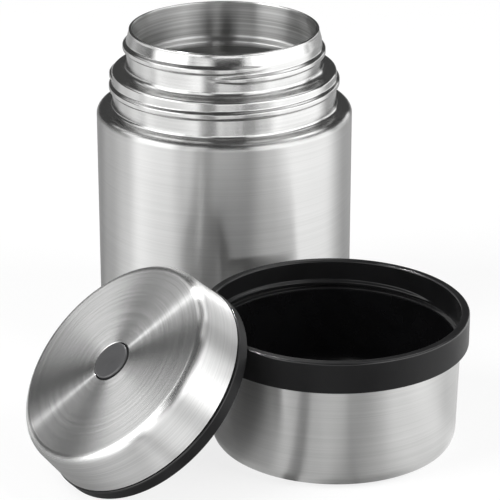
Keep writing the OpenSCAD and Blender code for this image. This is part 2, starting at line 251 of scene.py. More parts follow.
brushLines = makeBrushLines()
handling = makeHandling()
mouldedGrain = makeGrain()
blotchSize = {"steel": 22.0, "plastic": 30.0, "metal": 60.0}   # blotches on a m


# Across and along are how often the lines change, on a mm and on a radian. Change is where the
# roughness changes, from and to which mm along the outline, and its factor before and after.
steelSettings = {
    "jar": {"dark": (0.56, 0.56, 0.555), "light": (0.64, 0.64, 0.635), "rough": (0.32, 0.335),
            "across": 3.6, "along": 1.3, "bump": 0.035,
            "change": (93.5, 95.8, 1, 0.54)},   # from the brushed body to the rolled neck
    # the lid's tones are partly painted light: the jar's steel made lighter, so the lid looks
    # brighter by its colour
    "lid": {"dark": (0.69, 0.69, 0.685), "light": (0.89, 0.89, 0.885), "rough": (0.215, 0.235),
            "across": 4.4, "along": 1.5, "bump": 0.04,
            "change": (13, 21, 1.6, 1)},        # from the side to the top
    # the bowl's tones are partly painted shade: the jar's steel made darker, so the bowl looks
    # dimmer by its colour
    "bowl": {"dark": (0.44, 0.44, 0.435), "light": (0.52, 0.52, 0.515), "rough": (0.295, 0.31),
             "across": 3.6, "along": 1.3, "bump": 0.035},
    "vessel": {"dark": (0.4, 0.4, 0.395), "light": (0.82, 0.82, 0.815), "rough": (0.3, 0.36),
               "across": 2.2, "along": 0.6, "bump": 0.1},
}


def brushedSteel(name, s):
    # metal whose highlights spread across the brush lines; lines and rings change its tone, rings
    # and handling its roughness, and rounded edges are rubbed a little brighter and smoother
    material, tree, shader = newMaterial(name, {
        "Metallic": 1.0, "Anisotropic": 1.0, "Anisotropic Rotation": 0.25})
    brush = attribute(tree, "brush", "Vector")
    lines = useGroup(tree, brushLines, {
        "Vector": brush, "Across": s["across"], "Along": s["along"]})
    marks = useGroup(tree, handling, {
        "Vector": objectPlace(tree), "Size": blotchSize["steel"]})["Blotch"]
    worn = attribute(tree, "edge")
    tone = weighted(tree, 0, (lines["Fine"], 0.45), (lines["Rings"], 0.55), (worn, 0.35))
    rough = weighted(tree, 0, (lines["Rings"], 0.6), (marks, 0.4))
    rough = weighted(tree, remap(tree, rough, (0, 1), s["rough"]), (worn, -0.03))
    if "change" in s:
        start, end, before, after = s["change"]
        way = partsOf(tree, brush)[2]
        factor = remap(tree, way, (start, end), (before, after), True)
        rough = times(tree, rough, factor)
    around = add(tree, "ShaderNodeTangent", {"direction_type": "UV_MAP", "uv_map": "around"})
    tree.links.new(blendColours(tree, tone, s["dark"], s["light"]), shader.inputs["Base Color"])
    tree.links.new(rough, shader.inputs["Roughness"])
    tree.links.new(bumpOf(tree, s["bump"], 0.03 * mm, lines["Fine"]), shader.inputs["Normal"])
    tree.links.new(around.outputs[0], shader.inputs["Tangent"])
    return material


plasticSettings = {
    "blackPlastic": {"dark": (0.005, 0.005, 0.0053), "light": (0.01, 0.01, 0.0105),
                     "rough": (0.4, 0.48), "grain": 2600.0, "bump": 0.12, "gloss": 0.17,
                     "polished": (16.8, 18.3)},  # mm along the outline, where the bore starts
    "plugPlastic": {"dark": (0.045, 0.045, 0.048), "light": (0.065, 0.065, 0.068),
                    "rough": (0.3, 0.4), "grain": 2200.0, "bump": 0.08, "gloss": 0.5},
    "buttonPlastic": {"dark": (0.045, 0.045, 0.047), "light": (0.08, 0.08, 0.082),
                      "rough": (0.4, 0.5), "grain": 1800.0, "bump": 0.3, "gloss": 0.5},
    "linerPlastic": {"dark": (0.003, 0.003, 0.0032), "light": (0.006, 0.006, 0.0065),
                     "rough": (0.24, 0.3), "grain": 900.0, "bump": 0.02, "gloss": 0.2},
    "silicone": {"dark": (0.54, 0.54, 0.52), "light": (0.66, 0.66, 0.64),
                 "rough": (0.45, 0.6), "grain": 1800.0, "bump": 0.05, "gloss": 0.4},
    "foam": {"dark": (0.68, 0.62, 0.46), "light": (0.82, 0.77, 0.62),
             "rough": (0.85, 0.95), "grain": 900.0, "bump": 0.6, "gloss": 0.2},
    "solder": {"dark": (0.33, 0.33, 0.33), "light": (0.45, 0.45, 0.45),
               "rough": (0.4, 0.6), "grain": 700.0, "bump": 0.3, "gloss": 0.5},
    "getterPowder": {"dark": (0.2, 0.2, 0.2), "light": (0.33, 0.33, 0.33),
                     "rough": (0.7, 0.9), "grain": 2800.0, "bump": 0.5, "gloss": 0.3},
}
polish = {"edge": 0.8, "bore": 0.7, "rough": 0.16}   # weight of the coat there, its roughness


def moulded(name, s):
    # plastic, rubber or powder: grain and handling change its tone, handling its roughness, the
    # grain gives its bump, and rounded edges are a little paler and polished, as the bore is
    material, tree, shader = newMaterial(name, {
        "Specular IOR Level": s["gloss"], "Coat Roughness": polish["rough"]})
    where = objectPlace(tree)
    grain = useGroup(tree, mouldedGrain, {"Vector": where, "Scale": s["grain"]})["Grain"]
    marks = useGroup(tree, handling, {
        "Vector": where, "Size": blotchSize["plastic"]})["Blotch"]
    worn = attribute(tree, "edge")
    tone = weighted(tree, 0, (grain, 0.4), (marks, 0.5), (worn, 0.5))
    rough = weighted(tree, remap(tree, marks, (0, 1), s["rough"]), (worn, -0.04))
    coat = times(tree, worn, polish["edge"])
    if "polished" in s:
        way = partsOf(tree, attribute(tree, "brush", "Vector"))[2]
        bore = remap(tree, way, s["polished"], (0, polish["bore"]), True)
        coat = maths(tree, "MAXIMUM", coat, bore)
    tree.links.new(coat, shader.inputs["Coat Weight"])
    tree.links.new(blendColours(tree, tone, s["dark"], s["light"]), shader.inputs["Base Color"])
    tree.links.new(rough, shader.inputs["Roughness"])
    tree.links.new(bumpOf(tree, s["bump"], 0.1 * mm, grain), shader.inputs["Normal"])
    return material


metalSettings = {
    "drawnSteel": {"dark": (0.52, 0.52, 0.51), "light": (0.66, 0.66, 0.65), "rough": (0.3, 0.42)},
    "foil": {"dark": (0.78, 0.76, 0.71), "light": (0.9, 0.88, 0.84), "rough": (0.12, 0.25)},
    "springSteel": {"dark": (0.48, 0.48, 0.47), "light": (0.64, 0.64, 0.63),
                    "rough": (0.25, 0.38)},
}
metalScuffs = 1500.0    # scuffs on a m


def plainMetal(name, s):
    # drawn sheet, foil or wire: soft blotches change its tone and roughness, with fine scuffs
    material, tree, shader = newMaterial(name, {"Metallic": 1.0})
    where = objectPlace(tree)
    marks = useGroup(tree, handling, {"Vector": where, "Size": blotchSize["metal"]})["Blotch"]
    scuffs = noise(tree, where, metalScuffs, 3.0, 0.6)
    tone = weighted(tree, 0, (marks, 0.6), (scuffs, 0.4))
    tree.links.new(blendColours(tree, tone, s["dark"], s["light"]), shader.inputs["Base Color"])
    tree.links.new(remap(tree, tone, (0, 1), s["rough"]), shader.inputs["Roughness"])
    tree.links.new(bumpOf(tree, 0.1, 0.05 * mm, scuffs), shader.inputs["Normal"])
    return material


finish = {key: brushedSteel(key + "Steel", s) for key, s in steelSettings.items()}
finish.update({key: moulded(key, s) for key, s in plasticSettings.items()})
finish.update({key: plainMetal(key, s) for key, s in metalSettings.items()})
print("materials made")


# An outline is a row of corners (radius, height, rounding) in mm, with the material on its left.

crispEdge = 0.06    # mm, the least rounding, so that each edge catches light
leadIn = 0.08       # mm, how far beside an edge an extra row keeps flat faces flat


def unit(v):
    return v / np.linalg.norm(v)


def rounded(before, corner, after, radius, steps):
    # arc of the given radius that touches both legs of the corner
    a, b = unit(before - corner), unit(after - corner)
    half = math.acos(float(np.clip(a @ b, -1, 1))) / 2
    reach = radius / math.tan(half)
    centre = corner + unit(a + b) * radius / math.sin(half)
    start, end = corner + a * reach - centre, corner + b * reach - centre
    first, last = math.atan2(start[1], start[0]), math.atan2(end[1], end[0])
    sweep = (last - first + math.pi) % tau - math.pi
    count = max(3, int(steps * abs(sweep) / (math.pi / 2)) + 1)
    angles = first + sweep * np.linspace(0, 1, count)
    arc = centre + radius * np.stack([np.cos(angles), np.sin(angles)], 1)
    lead = min(leadIn, 0.3 * radius)
    return np.vstack([arc[0] + a * lead, arc, arc[-1] + b * lead])


def outline(corners, closed=False, steps=10):
    # the corners in turn, each with its rounding
    spots = np.array([c[:2] for c in corners], float)
    count = len(corners)
    rows = []
    for i, corner in enumerate(corners):
        if not closed and i in (0, count - 1):
            rows.append(spots[i][None])
            continue
        radius = corner[2] if len(corner) > 2 else crispEdge
        rows.append(rounded(spots[i - 1], spots[i], spots[(i + 1) % count], radius, steps))
    return np.vstack(rows)


def beside(corners, distance):
    # the corners moved to the left of their outline: a rounding gets tighter by the distance where
    # the outline turns left, wider where it turns right, and fits the legs beside it
    spots = np.array([c[:2] for c in corners], float)
    legs = np.diff(spots, axis=0)
    legs /= np.linalg.norm(legs, axis=1)[:, None]
    before = np.vstack([legs[:1], legs])
    after = np.vstack([legs, legs[-1:]])
    side = before + after
    side /= np.linalg.norm(side, axis=1)[:, None]
    reach = distance / (side * after).sum(1)
    moved = spots + reach[:, None] * np.stack([-side[:, 1], side[:, 0]], 1)
    left = before[:, 0] * after[:, 1] > before[:, 1] * after[:, 0]
    radius = [(c[2] if len(c) > 2 else crispEdge) for c in corners]
    radius = np.maximum(radius + np.where(left, -distance, distance), crispEdge)
    length = np.linalg.norm(np.diff(moved, axis=0), axis=1)
    shortest = np.minimum(np.append(length[:1], length), np.append(length, length[-1:]))
    half = np.arccos(np.clip(-(before * after).sum(1), -1, 1)) / 2
    return np.column_stack([moved, np.minimum(radius, 0.45 * shortest * np.tan(half))])


def filled(points, threads, step=0.25, near=0.3):
    # the stretches that carry a screw ridge, with their rows set close enough to shape it
    roots = [t["root"] for t in threads]
    rows = [points[:1]]
    for a, b in zip(points[:-1], points[1:]):
        carries = any(max(abs(a[0] - r), abs(b[0] - r)) < near for r in roots)
        pieces = max(1, math.ceil(np.linalg.norm(b - a) / step)) if carries else 1
        rows.append(a + (b - a) * np.linspace(0, 1, pieces + 1)[1:, None])
    return np.vstack(rows)


def led(points):
    # a row just inside each cut edge keeps the faces beside it flat under smooth shading
    def inside(end, onward):
        reach = np.linalg.norm(onward - end)
        return end + (onward - end) * min(leadIn, 0.3 * reach) / reach

    return np.vstack([points[:1], inside(points[0], points[1]), points[1:-1],
                      inside(points[-1], points[-2]), points[-1:]])


def sheetOutline(corners, thickness, steps=10, backSteps=5, threads=()):
    # one face of a sheet along the corners, and back along its other face
    face = filled(outline(corners, steps=steps), threads)
    back = outline(beside(corners, thickness), steps=backSteps)
    return np.vstack([led(face), led(back)[::-1]])


threadPitch = 4.0   # mm on a turn
threadFade = 26.0   # degrees over which a ridge runs out


def lift(thread, angle, radius, height):
    # how far a screw ridge lifts the wall at an angle (radians) and height (mm): a cosine bump
    # across the ridge, which climbs with the angle, and gets low and narrow at both ends. Only
    # the wall within 0.5 mm of the ridge's root is lifted
    start, end = thread["run"]
    best = np.zeros(radius.shape)
    for turn in (-1, 0, 1):
        degrees = np.degrees(angle) + 360 * turn
        ends = np.clip(np.minimum(degrees - start, end - degrees) / threadFade, 0, 1)
        ends = ends * ends * (3 - 2 * ends)
        wide = thread["width"] * (0.4 + 0.6 * ends)
        away = np.abs(height - thread["middle"] - threadPitch * degrees / 360) / (wide / 2)
        bump = np.clip((1 - away) / (1 - thread["flat"]), 0, 1)
        rise = thread["height"] * (1 - np.cos(np.pi * bump)) / 2 * ends
        best = np.maximum(best, rise)
    return np.where(np.abs(radius - thread["root"]) < 0.5, best * thread["side"], 0)


def edgeOf(points, along, closed):
    # how much the outline turns within two points of each: 1 on a rounded edge, which turns by
    # 1.6 radians on a mm or more, and 0 on a flat
    legs = np.diff(np.vstack([points, points[:1]]) if closed else points, axis=0)
    heading = np.unwrap(np.arctan2(legs[:, 1], legs[:, 0]))
    turn = np.zeros(len(points))
    turn[1:len(heading)] = np.abs(np.diff(heading))
    reach = np.convolve(turn, np.ones(5), "same")
    order = np.arange(len(points))
    span = np.interp(order + 2, order, along) - np.interp(order - 2, order, along)
    return np.clip(reach / np.maximum(span / mm, 0.05) / 1.6, 0, 1)


def facesOf(index, along, closed):
    # four corners between each two rows and columns, with the seam closed; a face at a pole loses
    # the corner that it has twice, and between two rows on the axis there is none. The UV map is
    # the turn round the axis, from 0 to 1, and the way along the outline in m
    rows, segments = index.shape
    lower = np.arange(rows if closed else rows - 1)
    upper = (lower + 1) % rows
    column = np.arange(segments)
    onward = (column + 1) % segments
    corners = np.stack([
        index[lower][:, column], index[lower][:, onward],
        index[upper][:, onward], index[upper][:, column]], 2).reshape(-1, 4)
    across = np.stack([column, column + 1, column + 1, column], 1) / segments
    reach = np.stack([along[lower], along[lower], along[upper], along[upper]], 1)
    chart = np.stack([
        np.broadcast_to(across[None], (len(lower), segments, 4)),
        np.broadcast_to(reach[:, None], (len(lower), segments, 4))], 3).reshape(-1, 4, 2)
    keep = np.ones(corners.shape, bool)
    keep[:, 1] = corners[:, 1] != corners[:, 0]
    keep[:, 2] = corners[:, 2] != corners[:, 3]
    keep[keep.sum(1) < 3] = False
    counts = keep.sum(1)
    return corners[keep], counts[counts > 0], chart[keep]


def spin(name, s, points, place, threads=(), closed=False):
    # radius and height run along the outline, and the angle round the axis:
    # x = r cos(a), y = r sin(a), z = h, with each screw ridge added to r
    rows, segments = len(points), s["segments"]
    around = np.arange(segments) / segments * tau
    radius = np.repeat(points[:, :1], segments, 1)
    height = np.repeat(points[:, 1:], segments, 1)
    radius = radius + sum(lift(t, around[None], radius, height) for t in threads)
    local = np.stack([radius * np.cos(around), radius * np.sin(around), height], 2) * mm
    matrix = np.array(place)
    world = local @ matrix[:3, :3].T + matrix[:3, 3]
    steps = np.linalg.norm(np.diff(points, axis=0), axis=1)
    along = np.concatenate([[0], np.cumsum(steps)]) * mm

    # a row on the axis is one point
    pole = points[:, 0] < 1e-6
    size = np.where(pole, 1, segments)
    first = np.concatenate([[0], np.cumsum(size)[:-1]])
    index = first[:, None] + np.where(pole[:, None], 0, np.arange(segments))

    def pointRows(grid):
        return np.vstack([grid[i, :size[i]] for i in range(rows)])

    vertices = pointRows(world)
    loops, counts, chart = facesOf(index, along, closed)
    mesh = bpy.data.meshes.new(name)
    mesh.vertices.add(len(vertices))
    mesh.vertices.foreach_set("co", vertices.astype(np.float32).ravel())
    mesh.loops.add(len(loops))
    mesh.loops.foreach_set("vertex_index", loops.astype(np.int32))
    mesh.polygons.add(len(counts))
    mesh.polygons.foreach_set("loop_start", (np.cumsum(counts) - counts).astype(np.int32))
    layer = mesh.uv_layers.new(name="around")
    layer.data.foreach_set("uv", chart.astype(np.float32).ravel())

    # brush lines run round the axis: they vary with the way along the outline in mm, and hardly
    # with the angle
    lines = pointRows(np.stack([np.broadcast_to(values, radius.shape) for values in (
        np.cos(around), np.sin(around), along[:, None] / mm)], 2))
    brush = mesh.attributes.new("brush", "FLOAT_VECTOR", "POINT")
    brush.data.foreach_set("vector", lines.astype(np.float32).ravel())
    worn = np.repeat(edgeOf(points, along, closed), size)
    edge = mesh.attributes.new("edge", "FLOAT", "POINT")
    edge.data.foreach_set("value", worn.astype(np.float32))
    mesh.update()
    mesh.validate()
    mesh.shade_smooth()
    mesh.materials.append(finish[s["finish"]])
    piece = bpy.data.objects.new(name, mesh)
    scene.collection.objects.link(piece)
    body, nodes, slot = s["body"], s["nodes"], s["slot"]
    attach(piece, body)
    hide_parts(*nodes)


# The pieces. Sizes are in mm: radii from the axis, and heights above the foot or the lid's rim.
# A thread's middle is its height at angle 0, its run the degrees between its ends, flat the share
# of its width that is level, and side says whether it stands out of its wall or into it.

jarWallSettings = {
    "body": "jar", "nodes": ["outer_shell"], "slot": "brushed_steel", "finish": "jar",
    "segments": 360, "sheet": 0.6,
    "air": 0.02,                      # between the two sheets at the lip
    "wall": 52.5, "seam": 3.6,        # the seam with the foot
    "seamGap": 0.06, "shoulder": 99.4, "shoulderRound": 3.2,
    "lowerNeck": 46.0, "ledge": 114.7, "ledgeRound": 1.0, "upperNeck": 39.9,
    "flare": 5.0,                     # from the mouth down to where the neck is straight
    "lip": 38.8, "lipHeight": 1.0, "lipRound": 0.45, "mouth": 132.0,
    "threads": [
        {"root": 39.9, "height": 1.5, "width": 4.0, "run": (-100, 300), "middle": 122.73,
         "flat": 0.36, "side": 1},
        {"root": 46.0, "height": 1.28, "width": 4.0, "run": (-215, 200), "middle": 110.04,
         "flat": 0.36, "side": 1},
    ],
}


def makeJarWall(s):
    # up the body, over the shoulder, the ledge and the neck to the lip, with the ridges on it
    wall = sheetOutline([
        (s["wall"], s["seam"] + s["seamGap"]), (s["wall"], s["shoulder"], s["shoulderRound"]),
        (s["lowerNeck"], s["shoulder"], 1.6), (s["lowerNeck"], s["ledge"], s["ledgeRound"]),
        (s["upperNeck"], s["ledge"], 2.4), (s["upperNeck"], s["mouth"] - s["flare"], 4.0),
        (s["lip"], s["mouth"] - s["lipHeight"], 2.0), (s["lip"], s["mouth"], s["lipRound"]),
        (s["lip"] - s["sheet"], s["mouth"])], s["sheet"] - s["air"], threads=s["threads"])
    spin("jarWall", s, wall, jarPlace, s["threads"], closed=True)


jarVesselSettings = {
    "body": "jar", "nodes": ["inner_vessel"], "slot": "vessel_steel", "finish": "vessel",
    "segments": 320,
    "bead": 34.8, "beadStart": 116.7, "beadTop": 115.6, "beadFoot": 113.5,
    "throat": 43.3, "throatTop": 107.7, "throatFoot": 96.4,
    "vessel": 47.3, "vesselTop": 90.4, "floor": 12.7, "floorRound": 12.0,
}


def makeJarVessel(s, wall):
    # from the lip down past the sealing bead and the throat to the floor
    inner = wall["lip"] - 2 * wall["sheet"]
    vessel = sheetOutline([
        (wall["lip"] - wall["sheet"], wall["mouth"]), (inner, wall["mouth"], wall["lipRound"]),
        (inner, s["beadStart"], 1.2), (s["bead"], s["beadTop"], 0.8),
        (s["bead"], s["beadFoot"], 1.0), (s["throat"], s["throatTop"], 3.0),
        (s["throat"], s["throatFoot"], 4.0), (s["vessel"], s["vesselTop"], 5.0),
        (s["vessel"], s["floor"], s["floorRound"]), (0, s["floor"])], wall["sheet"] - wall["air"])
    spin("jarVessel", s, vessel, jarPlace, closed=True)


def groovedFoot(s):
    # a flat from the middle outwards, with a ring groove pressed into it
    start, innerTop, outerTop, end = s["groove"]
    depth, edge = s["grooveDepth"], s["grooveEdge"]
    return [(0, 0), (start, 0, edge), (innerTop, depth, edge), (outerTop, depth, edge),
            (end, 0, edge)]


jarFootSettings = {
    "body": "jar", "nodes": ["base_cap"], "slot": "brushed_steel", "finish": "jar",
    "segments": 320, "round": 3.0,
    "groove": (40.5, 41.5, 43.5, 44.5), "grooveDepth": 1.0, "grooveEdge": 0.8,
}


def makeJarFoot(s, wall):
    foot = sheetOutline(groovedFoot(s) + [
        (wall["wall"], 0, s["round"]), (wall["wall"], wall["seam"] - wall["seamGap"])],
        wall["sheet"])
    spin("jarFoot", s, foot, jarPlace)


makeJarWall(jarWallSettings)
makeJarVessel(jarVesselSettings, jarWallSettings)
makeJarFoot(jarFootSettings, jarWallSettings)
print("jar made")


lidCapSettings = {
    "body": "lid", "nodes": ["lid_cap"], "slot": "brushed_steel", "finish": "lid",
    "segments": 400, "foot": 43.9, "footHeight": 5.6, "top": 42.2, "height": 23.6,
    "round": 3.8, "sheet": 0.5, "hole": 7.95, "holeRound": 0.35, "holeDepth": 0.8,
}


def makeLidCap(s):
    # up the sloping side, over the rounded edge, across the top and down into the button's hole
    cap = sheetOutline([
        (s["foot"], s["footHeight"]), (s["top"], s["height"], s["round"]),
        (s["hole"], s["height"], s["holeRound"]), (s["hole"], s["height"] - s["holeDepth"])],
        s["sheet"], steps=16)
    spin("lidCap", s, cap, lidPlace, closed=True)


lidBodySettings = {
    "body": "lid", "nodes": ["lid_body"], "slot": "black_plastic", "finish": "blackPlastic",
    "segments": 320,
    "air": 0.05,                      # under the cap
    "bore": 41.9, "boreTop": 12.3, "rim": 44.4, "rimHeight": 5.0, "rimRound": 0.6,
    "pocket": 38.65, "socket": 40.3, "socketFoot": 13.5, "socketTop": 17.1, "socketRound": 0.5,
    "ceiling": 2.0,
    "thread": {"root": 41.9, "height": 1.1, "width": 2.8, "run": (-100, 250), "middle": 6.2,
               "flat": 0.4, "side": -1},
}


def makeLidBody(s, cap, plug):
    # round the rim, up inside the cap, down round the foam's pocket and the socket to the bore,
    # with the moulded thread in it
    under = cap["sheet"] + s["air"]
    deck = cap["height"] - under
    slope = (cap["foot"] - cap["top"]) / (cap["height"] - cap["footHeight"])

    def insideCap(height):
        return cap["foot"] - slope * (height - cap["footHeight"]) - under

    ceiling = s["socketTop"] + s["ceiling"]
    plugIn = plug["radius"] - plug["wall"]
    body = outline([
        (s["bore"], 0, 0.4), (s["rim"], 0, s["rimRound"]),
        (s["rim"], s["rimHeight"], s["rimRound"]), (insideCap(s["rimHeight"]), s["rimHeight"]),
        (insideCap(deck), deck, cap["round"] - under), (s["pocket"], deck),
        (s["pocket"], ceiling), (plugIn, ceiling), (plugIn, s["socketTop"]),
        (s["socket"], s["socketTop"], s["socketRound"]), (s["socket"], s["socketFoot"]),
        (s["bore"], s["boreTop"])], closed=True)
    body = filled(np.vstack([body, body[:1]]), [s["thread"]])[:-1]
    spin("lidBody", s, body, lidPlace, [s["thread"]], closed=True)


lidPlugSettings = {
    "body": "lid", "nodes": ["lid_plug"], "slot": "plug_plastic", "finish": "plugPlastic",
    "segments": 256, "radius": 36.8, "wall": 1.6, "floor": 1.2, "floorRound": 1.0,
    "vent": 2.5, "well": 5.7, "wellTop": 3.6, "boss": 9.25,
    "groove": 35.8,                   # the sealing ring's seat
}


def makeLidPlug(s, body, ring):
    # from the vent down the washer's well, across the floor, round the ring's groove, up the
    # outside and back inside
    inside = s["radius"] - s["wall"]
    floorTop, seat = s["floor"] + s["wall"], s["wellTop"] + s["wall"]
    plug = outline([
        (s["vent"], s["wellTop"]), (s["well"], s["wellTop"]), (s["well"], s["floor"], 0.3),
        (s["groove"], s["floor"]), (s["groove"], ring["high"]), (s["radius"], ring["high"], 0.3),
        (s["radius"], body["socketTop"]), (inside, body["socketTop"]),
        (inside, floorTop, s["floorRound"]), (s["boss"], floorTop, 0.5), (s["boss"], seat),
        (s["vent"], seat)], closed=True)
    spin("lidPlug", s, plug, lidPlace, closed=True)


sealRingSettings = {
    "body": "lid", "nodes": ["seal_ring"], "slot": "silicone", "finish": "silicone",
    "segments": 256, "inside": 32.2, "outside": 37.4, "low": 0.3, "high": 2.9, "round": 0.5,
}


def makeSealRing(s, plug):
    # a ring round the plug's edge with a lip under its floor
    ring = outline([
        (s["inside"], s["low"]), (s["outside"], s["low"], s["round"]),
        (s["outside"], s["high"], s["round"]), (plug["groove"], s["high"]),
        (plug["groove"], plug["floor"]), (s["inside"], plug["floor"])], closed=True)
    spin("sealRing", s, ring, lidPlace, closed=True)


ventButtonSettings = {
    "body": "button", "nodes": ["vent_button"], "slot": "button_plastic",
    "finish": "buttonPlastic", "segments": 192,
    "radius": 7.4, "wall": 1.2, "foot": 17.9, "top": 24.3, "deck": 22.5, "edgeRound": 0.55,
    "dish": 5.8, "dishEdge": 24.28, "dishMiddle": 24.2,
    "boss": 2.9, "bossFoot": 19.5, "bore": 1.55,   # the boss holds the stem
}


def makeVentButton(s):
    # from under the top down the boss, down the skirt, and up the outside to the dished top
    inner = s["radius"] - s["wall"]
    button = outline([
        (0, s["deck"]), (s["bore"], s["deck"]), (s["bore"], s["bossFoot"]),
        (s["boss"], s["bossFoot"]), (s["boss"], s["deck"], 0.2), (inner, s["deck"], 0.2),
        (inner, s["foot"]), (s["radius"], s["foot"]), (s["radius"], s["top"], s["edgeRound"]),
        (s["dish"], s["dishEdge"], 1.0), (0, s["dishMiddle"])])
    spin("ventButton", s, button, lidPlace)


makeLidCap(lidCapSettings)
makeLidBody(lidBodySettings, lidCapSettings, lidPlugSettings)
makeLidPlug(lidPlugSettings, lidBodySettings, sealRingSettings)
makeSealRing(sealRingSettings, lidPlugSettings)
makeVentButton(ventButtonSettings)
print("lid made")


bowlShellSettings = {
    "body": "bowl", "nodes": ["bowl_shell"], "slot": "brushed_steel", "finish": "bowl",
    "segments": 360, "radius": 47.95, "draft": 1.1, "top": 41.0, "round": 5.5, "sheet": 0.5,
    "groove": (35.95, 36.75, 38.55, 39.35), "grooveDepth": 0.8, "grooveEdge": 0.7,
}


def makeBowlShell(s):
    shell = sheetOutline(groovedFoot(s) + [
        (s["radius"] - s["draft"], 0, s["round"]), (s["radius"], s["top"])], s["sheet"])
    spin("bowlShell", s, shell, bowlPlace)


bowlCollarSettings = {
    "body": "bowl", "nodes": ["bowl_collar"], "slot": "black_plastic", "finish": "blackPlastic",
    "segments": 360, "radius": 51.05, "foot": 40.5, "footRound": 0.35, "top": 52.5,
    "outerRound": 0.8, "bore": 47.75, "boreRound": 0.6, "boreFoot": 41.8,
    "step": 46.2, "stepHeight": 41.4,  # the ring over the liner's edge
    "slotTop": 41.3,                   # the slot takes the shell's edge
    "air": 0.05, "linerAir": 0.1,
    "thread": {"root": 47.75, "height": 1.1, "width": 2.8, "run": (30, 330), "middle": 42.2,
               "flat": 0.4, "side": -1},
}


def makeBowlCollar(s, shell, liner):
    # under the collar, up its outside, down the bore with its thread, over the liner's edge and
    # up into the slot for the shell
    slotOut = shell["radius"] + s["air"]
    slotIn = shell["radius"] - shell["sheet"] - s["air"]
    linerTop = liner["top"] + s["linerAir"]
    collar = outline([
        (slotOut, s["foot"], 0.1), (s["radius"], s["foot"], s["footRound"]),
        (s["radius"], s["top"], s["outerRound"]), (s["bore"], s["top"], s["boreRound"]),
        (s["bore"], s["boreFoot"], 0.2), (s["step"], s["stepHeight"], 0.2),
        (s["step"], linerTop), (slotIn, linerTop), (slotIn, s["slotTop"]),
        (slotOut, s["slotTop"])], closed=True)
    spin("bowlCollar", s, filled(collar, [s["thread"]]), bowlPlace, [s["thread"]], closed=True)


bowlLinerSettings = {
    "body": "bowl", "nodes": ["bowl_liner"], "slot": "liner_plastic", "finish": "linerPlastic",
    "segments": 320, "radius": 47.3, "footRadius": 45.6, "foot": 6.0, "top": 40.7,
    "round": 9.0, "wall": 1.1,
}


def makeBowlLiner(s):
    liner = sheetOutline([
        (0, s["foot"]), (s["footRadius"], s["foot"], s["round"]), (s["radius"], s["top"])],
        s["wall"], backSteps=14)
    spin("bowlLiner", s, liner, bowlPlace)


makeBowlShell(bowlShellSettings)
makeBowlCollar(bowlCollarSettings, bowlShellSettings, bowlLinerSettings)
makeBowlLiner(bowlLinerSettings)
print("bowl made")


# the pieces inside keep their shape and get a finish of their own
innerFinish = {
    "reflector_foil": "foil", "vacuum_base": "drawnSteel", "seal_bead": "solder",
    "getter": "getterPowder", "getter_clip": "drawnSteel", "foam_core": "foam",
    "button_sleeve": "blackPlastic", "vent_spring": "springSteel", "valve_stem": "blackPlastic",
    "valve_washer": "silicone", "stem_clip": "springSteel", "collar_seal": "silicone",
}


def finishInner(choice):
    for node, key in choice.items():
        for slot in bpy.data.objects[node].material_slots:
            slot.material = finish[key]


finishInner(innerFinish)
print("inner pieces finished")


floorSettings = {
    "half": 6.0, "height": -0.0003,   # m
    "pale": 0.8,                      # how much light the table gives back
    "shade": 0.22,                    # share of the table's tone that shadows can take away
    "glow": 0.8,                      # the rest, seen by the camera
}


def seenStraight(tree):
    # 1 for what the camera sees and what glass lets through, and 1 for what metal mirrors
    path = add(tree, "ShaderNodeLightPath").outputs
    straight = maths(tree, "MAXIMUM", path["Is Camera Ray"], path["Is Transmission Ray"])
    return straight, path["Is Glossy Ray"]


def makeFloor(s, studio):
    # a wide plain table: a matt surface that keeps the shadow, with a glow that makes it pale;
    # metal mirrors the glow with patches of painted light and gaps of painted shade
    mesh = bpy.data.meshes.new("studioFloor")
    half, height = s["half"], s["height"]
    mesh.from_pydata([(-half, -half, height), (half, -half, height),
                      (half, half, height), (-half, half, height)], [], [(0, 1, 2, 3)])
    material = bpy.data.materials.new("paleTable")
    material.use_nodes = True
    material.cycles.emission_sampling = "NONE"
    tree = material.node_tree
    tree.nodes.clear()
    straight, mirrored = seenStraight(tree)
    shown = maths(tree, "MAXIMUM", straight, mirrored)
    matt = add(tree, "ShaderNodeBsdfDiffuse", None, {"Color": (s["pale"],) * 3 + (1,)})
    under = add(tree, "ShaderNodeBsdfDiffuse", None, {"Color": (s["shade"],) * 3 + (1,)})
    level = weighted(tree, 0, (straight, s["glow"]), (mirrored, tableLevel(tree, studio)))
    glow = add(tree, "ShaderNodeEmission", None, {"Strength": level})
    both = add(tree, "ShaderNodeAddShader", None, {0: under.outputs[0], 1: glow.outputs[0]})
    mixed = add(tree, "ShaderNodeMixShader", None, {
        0: shown, 1: matt.outputs[0], 2: both.outputs[0]})
    add(tree, "ShaderNodeOutputMaterial", None, {0: mixed.outputs[0]})
    mesh.materials.append(material)
    floor = bpy.data.objects.new("studioFloor", mesh)
    scene.collection.objects.link(floor)
